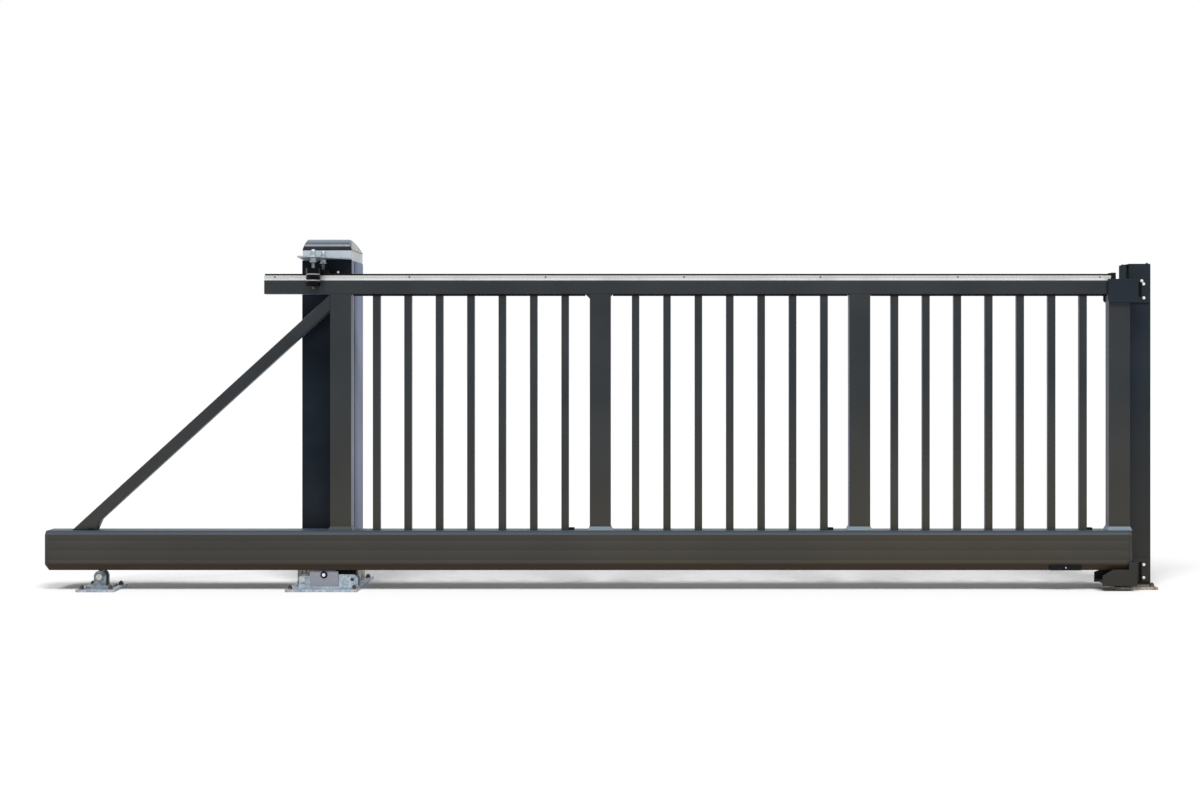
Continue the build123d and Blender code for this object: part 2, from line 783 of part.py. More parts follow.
def bottom_catch():
    """Catch with a ramp that lifts the end of the leaf and cheeks that centre it."""
    gap = leaf_clearance
    front = -beam_depth / 2 - gap
    left = leaf_right - bottom_catch_reach
    ramp_end = left + bottom_catch_ramp_run
    step = leaf_right - bottom_catch_step_inset
    web = leaf_right + bottom_catch_end_gap
    right = web + catch_wall
    cheek = [
        (left, bottom_catch_bottom),
        (left, bottom_catch_lip),
        (ramp_end, bottom_catch_shelf),
        (step, bottom_catch_shelf),
        (step, bottom_catch_top),
        (right, bottom_catch_top),
        (right, bottom_catch_bottom),
    ]
    low_cheek = [
        (left, bottom_catch_bottom),
        (left, bottom_catch_lip),
        (ramp_end, beam_bottom - gap),
        (right, beam_bottom - gap),
        (right, bottom_catch_bottom),
    ]
    shelf = beam_bottom - lead_roller_radius - gap - lead_roller_radius - rolling_clearance
    ramp = [
        (left, bottom_catch_floor_start),
        (ramp_end, shelf),
        (web, shelf),
        (web, shelf - catch_wall),
        (ramp_end, shelf - catch_wall),
        (left, bottom_catch_floor_start - catch_wall),
    ]
    catch = profile_along_y(cheek, front - catch_wall, front)
    catch += profile_along_y(low_cheek, post_front - gap, post_front)
    catch += profile_along_y(ramp, front, post_front - gap)
    catch += block(web, right, front, post_front, bottom_catch_bottom, bottom_catch_top)
    catch += block(
        right, catch_flange_right, post_front - catch_wall, post_front,
        bottom_catch_bottom, bottom_catch_top,
    )
    return catch


def ear_bolts():
    """Bolt through the left ear, in front and behind."""
    x, z = ear_left_bolt
    bolts = []
    for side in (-1, 1):
        y0, y1 = sorted((side * (bracket_front - bracket_thickness), side * bracket_front))
        h0, h1 = sorted((side * bracket_front, side * (bracket_front + ear_bolt_head)))
        bolts.append(rod_y(x, z, y0, y1, ear_bolt_radius / 2) + hex_y(x, z, h0, h1, ear_bolt_radius))
    return Compound(bolts)


nodes = {
    "track_beam": track_beam(),
    "beam_end_caps": Compound([end_cap(leaf_left, 1), end_cap(leaf_right, -1)]),
    "stile_left": stile(0),
    "stile_middle_left": stile(1),
    "stile_middle_right": stile(2),
    "stile_right": stile(3),
    "stile_feet": Compound([stile_foot(x) for x in stile_centres]),
    "top_rail": top_rail(),
    "running_strip": running_strip(),
    "strip_ridge": strip_ridge(),
    "rail_end_stop": rail_end_stop(),
    "pickets_bay_1": picket_bay(0),
    "pickets_bay_2": picket_bay(1),
    "pickets_bay_3": picket_bay(2),
    "picket_bars": picket_bars(),
    "diagonal_brace": diagonal_brace(),
    "limit_block": limit_block(),
    "lead_in_fork": lead_fork(),
    "lead_in_roller": lead_roller(),
    "main_base_plate": main_base_plate(),
    "carriage_bracket": carriage_bracket(),
    "carriage_ear_bolts": ear_bolts(),
    "carriage_housing": carriage_housing(),
    "carriage_pivot": carriage_pivot(),
    "pivot_spacers": pivot_spacers(),
    "bogie_frame": bogie_frame(),
    "bogie_axles": bogie_axles(),
    "bogie_wheels": bogie_wheels(),
    "rear_base_plate": rear_base_plate(),
    "rear_fork": rear_fork(),
    "rear_pivot_bolt": rear_pivot_bolt(),
    "rear_bogie": rear_bogie(),
    "rear_axle": axle(rear_x),
    "rear_wheels": rear_wheels(),
    "cabinet_body": cabinet_body(),
    "cabinet_light_band": cabinet_light_band(),
    "cabinet_lid": cabinet_lid(),
    "cabinet_feet": Compound([cabinet_foot(-1), cabinet_foot(1)]),
    "guide_mount_plate": guide_mount_plate(),
    "guide_arm_plate": guide_arm_plate(),
    "guide_bolts": Compound([
        guide_bolt(front_roller_x, -guide_roller_y),
        guide_bolt(rear_roller_x, guide_roller_y),
    ]),
    "guide_roller_front": guide_roller(front_roller_x, -guide_roller_y),
    "guide_roller_rear": guide_roller(rear_roller_x, guide_roller_y),
    "closing_post": closing_post(),
    "post_cap": post_cap(),
    "post_base_plate": post_base_plate(),
    "top_catch": top_catch(),
    "bottom_catch": bottom_catch(),
}

os.makedirs("parts", exist_ok=True)
for name, shape in nodes.items():
    export_step(shape, f"parts/{name}.step")
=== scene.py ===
import json
from math import cos, pi, radians

import bmesh
import bpy
from mathutils import Matrix, Vector

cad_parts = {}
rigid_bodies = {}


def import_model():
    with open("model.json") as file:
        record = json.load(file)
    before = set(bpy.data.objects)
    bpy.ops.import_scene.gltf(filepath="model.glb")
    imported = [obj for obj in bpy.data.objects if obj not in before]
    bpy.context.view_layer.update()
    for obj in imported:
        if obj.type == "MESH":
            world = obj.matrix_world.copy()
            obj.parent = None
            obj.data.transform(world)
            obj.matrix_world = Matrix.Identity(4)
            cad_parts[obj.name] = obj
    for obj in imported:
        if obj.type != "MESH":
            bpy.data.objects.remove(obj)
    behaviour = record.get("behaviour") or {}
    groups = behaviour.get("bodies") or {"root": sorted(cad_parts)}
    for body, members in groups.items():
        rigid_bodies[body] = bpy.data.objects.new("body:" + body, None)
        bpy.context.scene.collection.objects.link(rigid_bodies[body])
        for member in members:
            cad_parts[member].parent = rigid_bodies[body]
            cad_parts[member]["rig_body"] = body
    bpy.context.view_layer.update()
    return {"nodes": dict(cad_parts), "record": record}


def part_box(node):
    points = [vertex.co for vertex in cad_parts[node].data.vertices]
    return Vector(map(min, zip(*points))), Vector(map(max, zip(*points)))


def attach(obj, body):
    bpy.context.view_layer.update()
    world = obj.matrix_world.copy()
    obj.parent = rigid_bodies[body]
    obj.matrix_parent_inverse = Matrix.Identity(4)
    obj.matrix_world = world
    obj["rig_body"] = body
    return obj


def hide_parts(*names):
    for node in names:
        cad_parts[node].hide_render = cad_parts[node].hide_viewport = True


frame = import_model()
nodes = frame["nodes"]
mm = 0.001
print("frame loaded:", len(nodes), "nodes")

# The photograph is taken square on to the leaf, from a little above its middle
view = {
    "place": (1.532, -7.513, 1.123),
    "lensMm": 47.14,
    "sensorMm": 36.0,
    "shiftX": -0.0386,
    "shiftY": -0.0381,
    "farthestM": 200,
}

camera = bpy.data.objects.new("camera", bpy.data.cameras.new("camera"))
bpy.context.scene.collection.objects.link(camera)
camera.location = view["place"]
camera.rotation_euler = (radians(90), 0, 0)
camera.data.lens = view["lensMm"]
camera.data.sensor_width = view["sensorMm"]
camera.data.shift_x = view["shiftX"]
camera.data.shift_y = view["shiftY"]
camera.data.clip_end = view["farthestM"]
camera.data.dof.use_dof = False
bpy.context.scene.camera = camera
bpy.context.scene.view_settings.view_transform = "Standard"
print("camera placed")


def toLinear(hexColour):  # an sRGB hex value as the linear colour that a shader takes
    channels = [int(hexColour[i:i + 2], 16) / 255 for i in (1, 3, 5)]
    linear = [c / 12.92 if c <= 0.04045 else ((c + 0.055) / 1.055) ** 2.4 for c in channels]
    return (*linear, 1.0)


def patternScale(sizeMm):  # a texture's scale, from the real size of what it draws
    return 1 / (sizeMm * mm)


# A plain value is set on the new node's socket, and another node's output is linked to it
def addNode(tree, kind, inputs=None, **settings):
    node = tree.nodes.new(kind)
    for name, value in settings.items():
        setattr(node, name, value)
    for name, value in (inputs or {}).items():
        if isinstance(value, bpy.types.NodeSocket):
            tree.links.new(value, node.inputs[name])
        else:
            node.inputs[name].default_value = value
    return node


def startFinish(name):
    material = bpy.data.materials.new(name)
    material.use_nodes = True
    material.node_tree.nodes.clear()
    return material, material.node_tree


# Polyester powder coat, sprayed and baked on aluminium extrusions: a satin skin with a fine grit in it,
# cloudy where it was handled, dusty towards the ground, browned by splashes along the foot of the beam,
# and painted bluish where it faces up: a painted reflection of the sky
coat = {
    "gritMm": 2.5,  # the real grit is about 0.3 mm and wouldn't show
    "gritDepthMm": 0.05,
    "cloudMm": 420,
    "handledColour": "#4b5054",
    "dustPatchMm": 1900,
    "dustFromM": 0.1,
    "dustTopM": 1.0,
    "dustColour": "#413c32",
    "splashTopM": 0.136,
    "splashEdgeM": 0.008,
    "splashColour": "#2d2013",
    # the bluish tint painted on faces that look up: a painted reflection of the sky
    "paintedSkyColour": "#323d46",
    "sheenColour": "#a0b0dc",
}


def powderCoat(name, colour, dust, splash, specular, sheen, roughness=0.4):
    material, tree = startFinish(name)
    place = addNode(tree, "ShaderNodeTexCoord").outputs["Object"]
    height = addNode(tree, "ShaderNodeSeparateXYZ", {"Vector": place}).outputs["Z"]
    cloud = addNode(tree, "ShaderNodeTexNoise", {
        "Vector": place, "Scale": patternScale(coat["cloudMm"]), "Detail": 5.0,
    }).outputs["Fac"]
    patches = addNode(tree, "ShaderNodeTexNoise", {
        "Vector": place, "Scale": patternScale(coat["dustPatchMm"]), "Detail": 2.0,
    }).outputs["Fac"]
    grit = addNode(tree, "ShaderNodeTexNoise", {
        "Vector": place, "Scale": patternScale(coat["gritMm"]), "Detail": 2.0,
    }).outputs["Fac"]
    rise = addNode(tree, "ShaderNodeMapRange", {
        "Value": height, "From Min": coat["dustFromM"], "From Max": coat["dustTopM"],
        "To Min": dust, "To Max": 0.0,
    }).outputs["Result"]
    patchy = addNode(tree, "ShaderNodeMapRange", {
        "Value": patches, "From Min": 0.3, "From Max": 0.7, "To Min": 0.55, "To Max": 1.25,
    }).outputs["Result"]
    dusting = addNode(tree, "ShaderNodeMath", {0: rise, 1: patchy}, operation="MULTIPLY", use_clamp=True)
    handled = addNode(tree, "ShaderNodeMapRange", {
        "Value": cloud, "From Min": 0.35, "From Max": 0.75, "To Min": 0.0, "To Max": 0.22,
    }).outputs["Result"]
    paint = addNode(tree, "ShaderNodeMix", {
        0: handled, 6: toLinear(colour), 7: toLinear(coat["handledColour"]),
    }, data_type="RGBA").outputs[2]
    dusty = addNode(tree, "ShaderNodeMix", {
        0: dusting.outputs[0], 6: paint, 7: toLinear(coat["dustColour"]),
    }, data_type="RGBA").outputs[2]
    foot = addNode(tree, "ShaderNodeMapRange", {
        "Value": height, "From Min": coat["splashTopM"] - coat["splashEdgeM"],
        "From Max": coat["splashTopM"], "To Min": splash, "To Max": 0.0,
    }).outputs["Result"]
    splashed = addNode(tree, "ShaderNodeMix", {
        0: foot, 6: dusty, 7: toLinear(coat["splashColour"]),
    }, data_type="RGBA").outputs[2]
    # painted reflection: faces that look up are tinted bluish, as if they mirrored the sky
    normal = addNode(tree, "ShaderNodeNewGeometry").outputs["Normal"]
    upwards = addNode(tree, "ShaderNodeSeparateXYZ", {"Vector": normal}).outputs["Z"]
    skyFacing = addNode(tree, "ShaderNodeMapRange", {
        "Value": upwards, "From Min": 0.3, "From Max": 0.65, "To Min": 0.0, "To Max": 1.0,
    }).outputs["Result"]
    skyReflected = addNode(tree, "ShaderNodeMix", {
        0: skyFacing, 6: splashed, 7: toLinear(coat["paintedSkyColour"]),
    }, data_type="RGBA").outputs[2]
    satin = addNode(tree, "ShaderNodeMapRange", {
        "Value": cloud, "From Min": 0.3, "From Max": 0.7,
        "To Min": roughness - 0.05, "To Max": roughness + 0.06,
    }).outputs["Result"]
    bump = addNode(tree, "ShaderNodeBump", {
        "Height": grit, "Strength": 0.35, "Distance": coat["gritDepthMm"] * mm,
    }).outputs["Normal"]
    shader = addNode(tree, "ShaderNodeBsdfPrincipled", {
        "Base Color": skyReflected, "Roughness": satin, "Normal": bump, "Specular IOR Level": specular,
        "Sheen Weight": sheen, "Sheen Roughness": 0.3, "Sheen Tint": toLinear(coat["sheenColour"]),
    })
    addNode(tree, "ShaderNodeOutputMaterial", {"Surface": shader.outputs["BSDF"]})
    return material


# Mill-finish aluminium, extruded and left bare: pale and half dull, with fine lines drawn along X by the
# die, grey patches where it was handled, and a duller, warmer band above its groove
millStrip = {
    "lineLengthMm": 500, "lineWidthMm": 1.5, "lineDepthMm": 0.04, "stainMm": 160, "bandAboveM": 1.4845,
    "paleColour": "#cdd2d5", "bandColour": "#c2c0bb", "stainColour": "#aeb0b4",
}


def millAluminium(name):
    material, tree = startFinish(name)
    place = addNode(tree, "ShaderNodeTexCoord").outputs["Object"]
    acrossLines = patternScale(millStrip["lineWidthMm"])
    drawn = addNode(tree, "ShaderNodeMapping", {
        "Vector": place, "Scale": (patternScale(millStrip["lineLengthMm"]), acrossLines, acrossLines),
    }).outputs["Vector"]
    lines = addNode(tree, "ShaderNodeTexNoise", {
        "Vector": drawn, "Scale": 1.0, "Detail": 3.0,
    }).outputs["Fac"]
    stains = addNode(tree, "ShaderNodeTexNoise", {
        "Vector": place, "Scale": patternScale(millStrip["stainMm"]), "Detail": 6.0,
    }).outputs["Fac"]
    stained = addNode(tree, "ShaderNodeMapRange", {
        "Value": stains, "From Min": 0.48, "From Max": 0.75, "To Min": 0.0, "To Max": 0.7,
    }).outputs["Result"]
    height = addNode(tree, "ShaderNodeSeparateXYZ", {"Vector": place}).outputs["Z"]
    above = addNode(tree, "ShaderNodeMath", {
        0: height, 1: millStrip["bandAboveM"],
    }, operation="GREATER_THAN").outputs[0]
    clean = addNode(tree, "ShaderNodeMix", {
        0: above, 6: toLinear(millStrip["paleColour"]), 7: toLinear(millStrip["bandColour"]),
    }, data_type="RGBA").outputs[2]
    metal = addNode(tree, "ShaderNodeMix", {
        0: stained, 6: clean, 7: toLinear(millStrip["stainColour"]),
    }, data_type="RGBA").outputs[2]
    dull = addNode(tree, "ShaderNodeMapRange", {
        "Value": lines, "From Min": 0.3, "From Max": 0.7, "To Min": 0.4, "To Max": 0.6,
    }).outputs["Result"]
    bump = addNode(tree, "ShaderNodeBump", {
        "Height": lines, "Strength": 0.3, "Distance": millStrip["lineDepthMm"] * mm,
    }).outputs["Normal"]
    shader = addNode(tree, "ShaderNodeBsdfPrincipled", {
        "Base Color": metal, "Metallic": 1.0, "Roughness": dull, "Normal": bump,
    })
    addNode(tree, "ShaderNodeOutputMaterial", {"Surface": shader.outputs["BSDF"]})
    return material


# Hot-dip galvanised steel: blue-grey zinc spangles with dull runs, and brown specks where the zinc is thin
zinc = {"spangleMm": 7, "runMm": 26, "runDepthMm": 0.8, "speckMm": 14, "speckColour": "#6d5038"}


def hotDipZinc(name, pale, deep, specks):
    material, tree = startFinish(name)
    place = addNode(tree, "ShaderNodeTexCoord").outputs["Object"]
    spangles = addNode(tree, "ShaderNodeTexVoronoi", {
        "Vector": place, "Scale": patternScale(zinc["spangleMm"]),
    }).outputs["Color"]
    tone = addNode(tree, "ShaderNodeSeparateColor", {"Color": spangles}).outputs["Red"]
    runs = addNode(tree, "ShaderNodeTexNoise", {
        "Vector": place, "Scale": patternScale(zinc["runMm"]), "Detail": 6.0,
    }).outputs["Fac"]
    mottle = addNode(tree, "ShaderNodeMath", {
        0: tone, 1: 0.3, 2: runs,
    }, operation="MULTIPLY_ADD").outputs[0]
    blotch = addNode(tree, "ShaderNodeMapRange", {
        "Value": mottle, "From Min": 0.45, "From Max": 0.85, "To Min": 0.0, "To Max": 1.0,
    }).outputs["Result"]
    coated = addNode(tree, "ShaderNodeMix", {
        0: blotch, 6: toLinear(deep), 7: toLinear(pale),
    }, data_type="RGBA").outputs[2]
    thin = addNode(tree, "ShaderNodeTexNoise", {
        "Vector": place, "Scale": patternScale(zinc["speckMm"]), "Detail": 8.0, "Roughness": 0.7,
    }).outputs["Fac"]
    speckled = addNode(tree, "ShaderNodeMapRange", {
        "Value": thin, "From Min": 0.68 - 0.12 * specks, "From Max": 0.74, "To Min": 0.0, "To Max": 0.85,
    }).outputs["Result"]
    surface = addNode(tree, "ShaderNodeMix", {
        0: speckled, 6: coated, 7: toLinear(zinc["speckColour"]),
    }, data_type="RGBA").outputs[2]
    dull = addNode(tree, "ShaderNodeMapRange", {
        "Value": mottle, "From Min": 0.4, "From Max": 0.9, "To Min": 0.62, "To Max": 0.4,
    }).outputs["Result"]
    bump = addNode(tree, "ShaderNodeBump", {
        "Height": runs, "Strength": 0.5, "Distance": zinc["runDepthMm"] * mm,
    }).outputs["Normal"]
    shader = addNode(tree, "ShaderNodeBsdfPrincipled", {
        "Base Color": surface, "Metallic": 0.75, "Roughness": dull, "Normal": bump,
    })
    addNode(tree, "ShaderNodeOutputMaterial", {"Surface": shader.outputs["BSDF"]})
    return material


# Zinc-plated steel fasteners, barrel plated: bright with small dull flecks
plating = {"fleckMm": 4}


def platedSteel(name, colour, fleckColour, roughness):
    material, tree = startFinish(name)
    place = addNode(tree, "ShaderNodeTexCoord").outputs["Object"]
    flecks = addNode(tree, "ShaderNodeTexNoise", {
        "Vector": place, "Scale": patternScale(plating["fleckMm"]), "Detail": 4.0,
    }).outputs["Fac"]
    fleck = addNode(tree, "ShaderNodeMapRange", {
        "Value": flecks, "From Min": 0.48, "From Max": 0.7, "To Min": 0.0, "To Max": 0.8,
    }).outputs["Result"]
    metal = addNode(tree, "ShaderNodeMix", {
        0: fleck, 6: toLinear(colour), 7: toLinear(fleckColour),
    }, data_type="RGBA").outputs[2]
    dull = addNode(tree, "ShaderNodeMapRange", {
        "Value": flecks, "From Min": 0.3, "From Max": 0.7, "To Min": roughness, "To Max": roughness + 0.2,
    }).outputs["Result"]
    shader = addNode(tree, "ShaderNodeBsdfPrincipled", {
        "Base Color": metal, "Metallic": 1.0, "Roughness": dull,
    })
    addNode(tree, "ShaderNodeOutputMaterial", {"Surface": shader.outputs["BSDF"]})
    return material


# Rusted steel, left in the weather: a matt orange and brown crust
rust = {"crustMm": 6, "crustDepthMm": 0.4, "deepColour": "#4a382b", "paleColour": "#ab8467"}


def rustCrust(name):
    material, tree = startFinish(name)
    place = addNode(tree, "ShaderNodeTexCoord").outputs["Object"]
    crust = addNode(tree, "ShaderNodeTexNoise", {
        "Vector": place, "Scale": patternScale(rust["crustMm"]), "Detail": 8.0,
    }).outputs["Fac"]
    share = addNode(tree, "ShaderNodeMapRange", {
        "Value": crust, "From Min": 0.35, "From Max": 0.65, "To Min": 0.0, "To Max": 1.0,
    }).outputs["Result"]
    colour = addNode(tree, "ShaderNodeMix", {
        0: share, 6: toLinear(rust["deepColour"]), 7: toLinear(rust["paleColour"]),
    }, data_type="RGBA").outputs[2]
    bump = addNode(tree, "ShaderNodeBump", {
        "Height": crust, "Strength": 0.8, "Distance": rust["crustDepthMm"] * mm,
    }).outputs["Normal"]
    shader = addNode(tree, "ShaderNodeBsdfPrincipled", {
        "Base Color": colour, "Roughness": 0.85, "Normal": bump,
    })
    addNode(tree, "ShaderNodeOutputMaterial", {"Surface": shader.outputs["BSDF"]})
    return material


# Moulded plastics, and the near-black that stands for shade: an even colour that has weathered in soft
# clouds, over the fine erosion grain of the mould, and where asked a pale bluish tint painted on what faces
# up: a painted sky reflection
plastic = {"cloudMm": 90, "skyReflectionColour": "#75828f", "scatterM": 0.01}


def moulded(
    name, colour, weathered, roughness, grainMm, grainDepthMm=0.03, specular=0.5, scatter=0.0, paintedSky=0.0,
):
    material, tree = startFinish(name)
    place = addNode(tree, "ShaderNodeTexCoord").outputs["Object"]
    grain = addNode(tree, "ShaderNodeTexNoise", {
        "Vector": place, "Scale": patternScale(grainMm), "Detail": 3.0,
    }).outputs["Fac"]
    cloud = addNode(tree, "ShaderNodeTexNoise", {
        "Vector": place, "Scale": patternScale(plastic["cloudMm"]), "Detail": 4.0,
    }).outputs["Fac"]
    weather = addNode(tree, "ShaderNodeMapRange", {
        "Value": cloud, "From Min": 0.4, "From Max": 0.75, "To Min": 0.0, "To Max": 0.8,
    }).outputs["Result"]
    surface = addNode(tree, "ShaderNodeMix", {
        0: weather, 6: toLinear(colour), 7: toLinear(weathered),
    }, data_type="RGBA").outputs[2]
    normal = addNode(tree, "ShaderNodeNewGeometry").outputs["Normal"]
    upwards = addNode(tree, "ShaderNodeSeparateXYZ", {"Vector": normal}).outputs["Z"]
    # painted reflection: what faces up gets a pale bluish tint, as if it mirrored the sky
    skyShare = addNode(tree, "ShaderNodeMapRange", {
        "Value": upwards, "From Min": 0.45, "From Max": 0.8, "To Min": 0.0, "To Max": paintedSky,
    }).outputs["Result"]
    skyTinted = addNode(tree, "ShaderNodeMix", {
        0: skyShare, 6: surface, 7: toLinear(plastic["skyReflectionColour"]),
    }, data_type="RGBA").outputs[2]
    dull = addNode(tree, "ShaderNodeMapRange", {
        "Value": cloud, "From Min": 0.3, "From Max": 0.7,
        "To Min": roughness - 0.04, "To Max": roughness + 0.06,
    }).outputs["Result"]
    bump = addNode(tree, "ShaderNodeBump", {
        "Height": grain, "Strength": 0.3, "Distance": grainDepthMm * mm,
    }).outputs["Normal"]
    shader = addNode(tree, "ShaderNodeBsdfPrincipled", {
        "Base Color": skyTinted, "Roughness": dull, "Normal": bump, "Specular IOR Level": specular,
        "Subsurface Weight": scatter, "Subsurface Radius": [plastic["scatterM"]] * 3,
    })
    addNode(tree, "ShaderNodeOutputMaterial", {"Surface": shader.outputs["BSDF"]})
    return material


coatLeaf = powderCoat("powderCoatAnthracite", "#25292c", dust=0.75, splash=0.9, specular=0.2, sheen=0.35)
# pale blue-grey on the sloped collars at the stiles' feet: a painted reflection of the sky
coatFootPaintedSky = powderCoat("powderCoatFootPaintedSky", "#8495a2", dust=0.1, splash=0.0, specular=0.3, sheen=0.3)
# near-black coat for the picket bars under the rail: painted shade where the rail shades them
coatBarPaintedShade = powderCoat(
    "powderCoatPaintedShade", "#0a0b0c", dust=0.0, splash=0.0, specular=0.03, sheen=0.0, roughness=0.6,
)
coatPost = powderCoat(
    "powderCoatPost", "#262d34", dust=0.6, splash=0.1, specular=0.02, sheen=0.0, roughness=0.55,
)
coatCabinet = powderCoat(
    "powderCoatBlueGrey", "#111a24", dust=0.1, splash=0.0, specular=0.06, sheen=0.95, roughness=0.33,
)
mill = millAluminium("millAluminium")
galvanised = hotDipZinc("hotDipGalvanised", "#b7c1ca", "#8995a1", specks=0.3)
galvanisedDark = hotDipZinc("hotDipGalvanisedForged", "#8f989d", "#68737b", specks=0.4)
galvanisedBrown = hotDipZinc("hotDipGalvanisedThin", "#b5ada3", "#857c74", specks=1.5)
sheetZinc = platedSteel("zincPlatedSheet", "#8d8f96", "#a2a3aa", roughness=0.5)
plated = platedSteel("zincPlated", "#c4c4bd", "#85837b", roughness=0.3)
platedBright = platedSteel("zincPlatedBright", "#eceded", "#c5c7c8", roughness=0.25)
platedGrey = platedSteel("zincPlatedGrey", "#a9b4b8", "#66717a", roughness=0.36)
platedDull = platedSteel("zincPlatedDull", "#575c60", "#2d3033", roughness=0.5)
rusted = rustCrust("rustedSteel")
# the lid's upper faces carry the painted sky reflection
lidPlastic = moulded(
    "absGloss", "#0f1c27", "#16242f", roughness=0.14, grainMm=1.4, grainDepthMm=0.01,
    specular=0.3, paintedSky=0.9,
)
capPlastic = moulded("polyamideMatt", "#2b2c2c", "#3a3a38", roughness=0.5, grainMm=1.2, specular=0.3)
blackPlastic = moulded("polyamideBlack", "#0c0c0e", "#17171b", roughness=0.38, grainMm=1.2, specular=0.12)
navyPlastic = moulded("polyamideNavy", "#0b0e30", "#141a44", roughness=0.3, grainMm=1.2, specular=0.12)
nylon = moulded(
    "turnedNylon", "#010101", "#040304", roughness=0.12, grainMm=0.9, grainDepthMm=0.002, specular=0.09,
)
# pale grey for the rollers' upward groove slopes: a painted highlight
nylonGlint = moulded(
    "turnedNylonPaintedGlint", "#8f8a90", "#a5a0a4", roughness=0.3, grainMm=0.9, grainDepthMm=0.01, specular=0.3,
)
# near-black for the blocks and strips below that stand for shade: painted shade
shadeBlack = moulded("paintedShadeBlack", "#080808", "#111110", roughness=0.6, grainMm=1.5, specular=0.08)
opal = moulded(
    "opalAcrylic", "#c0c7cc", "#b2bac1", roughness=0.3, grainMm=2.0, specular=0.4, scatter=0.15,
)
print("materials made")

# Which finish each CAD node has, and the radius in mm of its edges in the dressed copy
finishes = {
    coatLeaf: {
        "track_beam": 2,
        "stile_left": 3, "stile_middle_left": 3, "stile_middle_right": 3, "stile_right": 3, "top_rail": 3,
        "pickets_bay_1": 6, "pickets_bay_2": 6, "pickets_bay_3": 6, "diagonal_brace": 6,
    },
    coatBarPaintedShade: {"picket_bars": 1},
    coatFootPaintedSky: {"stile_feet": 0.8},
    coatCabinet: {"cabinet_body": 3, "guide_mount_plate": 1.2},
    coatPost: {"closing_post": 2.5, "post_cap": 1.5, "top_catch": 1.5, "bottom_catch": 1.5},
    mill: {"running_strip": 0.5},
    galvanised: {
        "lead_in_fork": 1, "main_base_plate": 1.2, "rear_base_plate": 1.2, "carriage_bracket": 1.2,
        "guide_arm_plate": 1, "bogie_frame": 1.5,
    },
    galvanisedDark: {"rear_fork": 1.5, "rear_bogie": 1.5},
    galvanisedBrown: {"cabinet_feet": 1.5, "post_base_plate": 1.2},
    sheetZinc: {"carriage_housing": 1.5},
    plated: {
        "carriage_ear_bolts": 0.8, "pivot_spacers": 0.5, "bogie_axles": 0.5, "rear_pivot_bolt": 0.8,
        "rear_axle": 0.5, "guide_bolts": 0.5,
    },
    blackPlastic: {"strip_ridge": 1, "rail_end_stop": 2, "limit_block": 1.5},
    navyPlastic: {"carriage_pivot": 0.8},
    lidPlastic: {"cabinet_lid": 3},
    capPlastic: {"beam_end_caps": 2.5},
    nylon: {
        "lead_in_roller": 1, "bogie_wheels": 1, "rear_wheels": 1,
        "guide_roller_front": 1, "guide_roller_rear": 1,
    },
    opal: {"cabinet_light_band": 2.5},
}
hiddenInBeam = {  # these keep their CAD shapes
    "bogie_axles", "bogie_wheels", "rear_axle", "rear_wheels", "pivot_spacers", "lead_in_roller",
}
ownPiece = {"guide_bolts", "guide_roller_front", "guide_roller_rear"}  # made further down
lengthwise = {  # butt-jointed bars keep their ends square: only the edges along these axes are rounded
    "stile_left": "z", "stile_middle_left": "z", "stile_middle_right": "z", "stile_right": "z",
    "pickets_bay_1": "z", "pickets_bay_2": "z", "pickets_bay_3": "z", "picket_bars": "x",
    "top_rail": "x", "running_strip": "x", "strip_ridge": "x", "track_beam": "x", "diagonal_brace": "xz",
}
tallerMm = {"rail_end_stop": 17, "strip_ridge": 3}  # how far the top of a block or strip is pulled up
dieLines = {  # shallow lines that the extrusion die leaves along both upright faces
    "track_beam": {"heightsM": (0.148, 0.193, 0.238), "halfWidthMm": 0.8, "depthMm": 0.45},
    "running_strip": {"heightsM": (1.4845,), "halfWidthMm": 1.2, "depthMm": 0.9},
}

# How every shape is joined, rounded and shaded
making = {
    "joinMm": 0.01,
    "levelMm": 0.1,  # points this close in height are on one level
    "cutMm": 0.001,
    "flatDegrees": 0.5,  # triangles that bend less than this make one face
    "roundAboveDegrees": 32,
    "alongShare": 0.9,  # how nearly an edge has to follow its piece's axes
    "crispDegrees": 35,  # edges that bend more than this are shaded sharp
    "crispDressedDegrees": 20,  # the same on pieces with rounded edges
}
joinDistance = making["joinMm"] * mm
levelDistance = making["levelMm"] * mm


def finishPiece(name, shape, body, material, crispDegrees=making["crispDegrees"]):
    mesh = bpy.data.meshes.new(name)
    shape.to_mesh(mesh)
    shape.free()
    mesh.shade_smooth()
    mesh.set_sharp_from_angle(angle=radians(crispDegrees))
    mesh.materials.append(material)
    piece = bpy.data.objects.new(name, mesh)
    bpy.context.scene.collection.objects.link(piece)
    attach(piece, body)
    return piece


def settle(shape):  # closes seams and poles and turns every face outwards
    bmesh.ops.remove_doubles(shape, verts=shape.verts, dist=joinDistance)
    bmesh.ops.recalc_face_normals(shape, faces=shape.faces)
    return shape


def cleanCopy(nodeName):  # a CAD node's loose triangles, joined into flat faces
    shape = bmesh.new()
    shape.from_mesh(nodes[nodeName].data)
    bmesh.ops.remove_doubles(shape, verts=shape.verts, dist=joinDistance)
    bmesh.ops.dissolve_limit(
        shape, angle_limit=radians(making["flatDegrees"]), verts=shape.verts, edges=shape.edges,
        use_dissolve_boundaries=False,
    )
    return shape


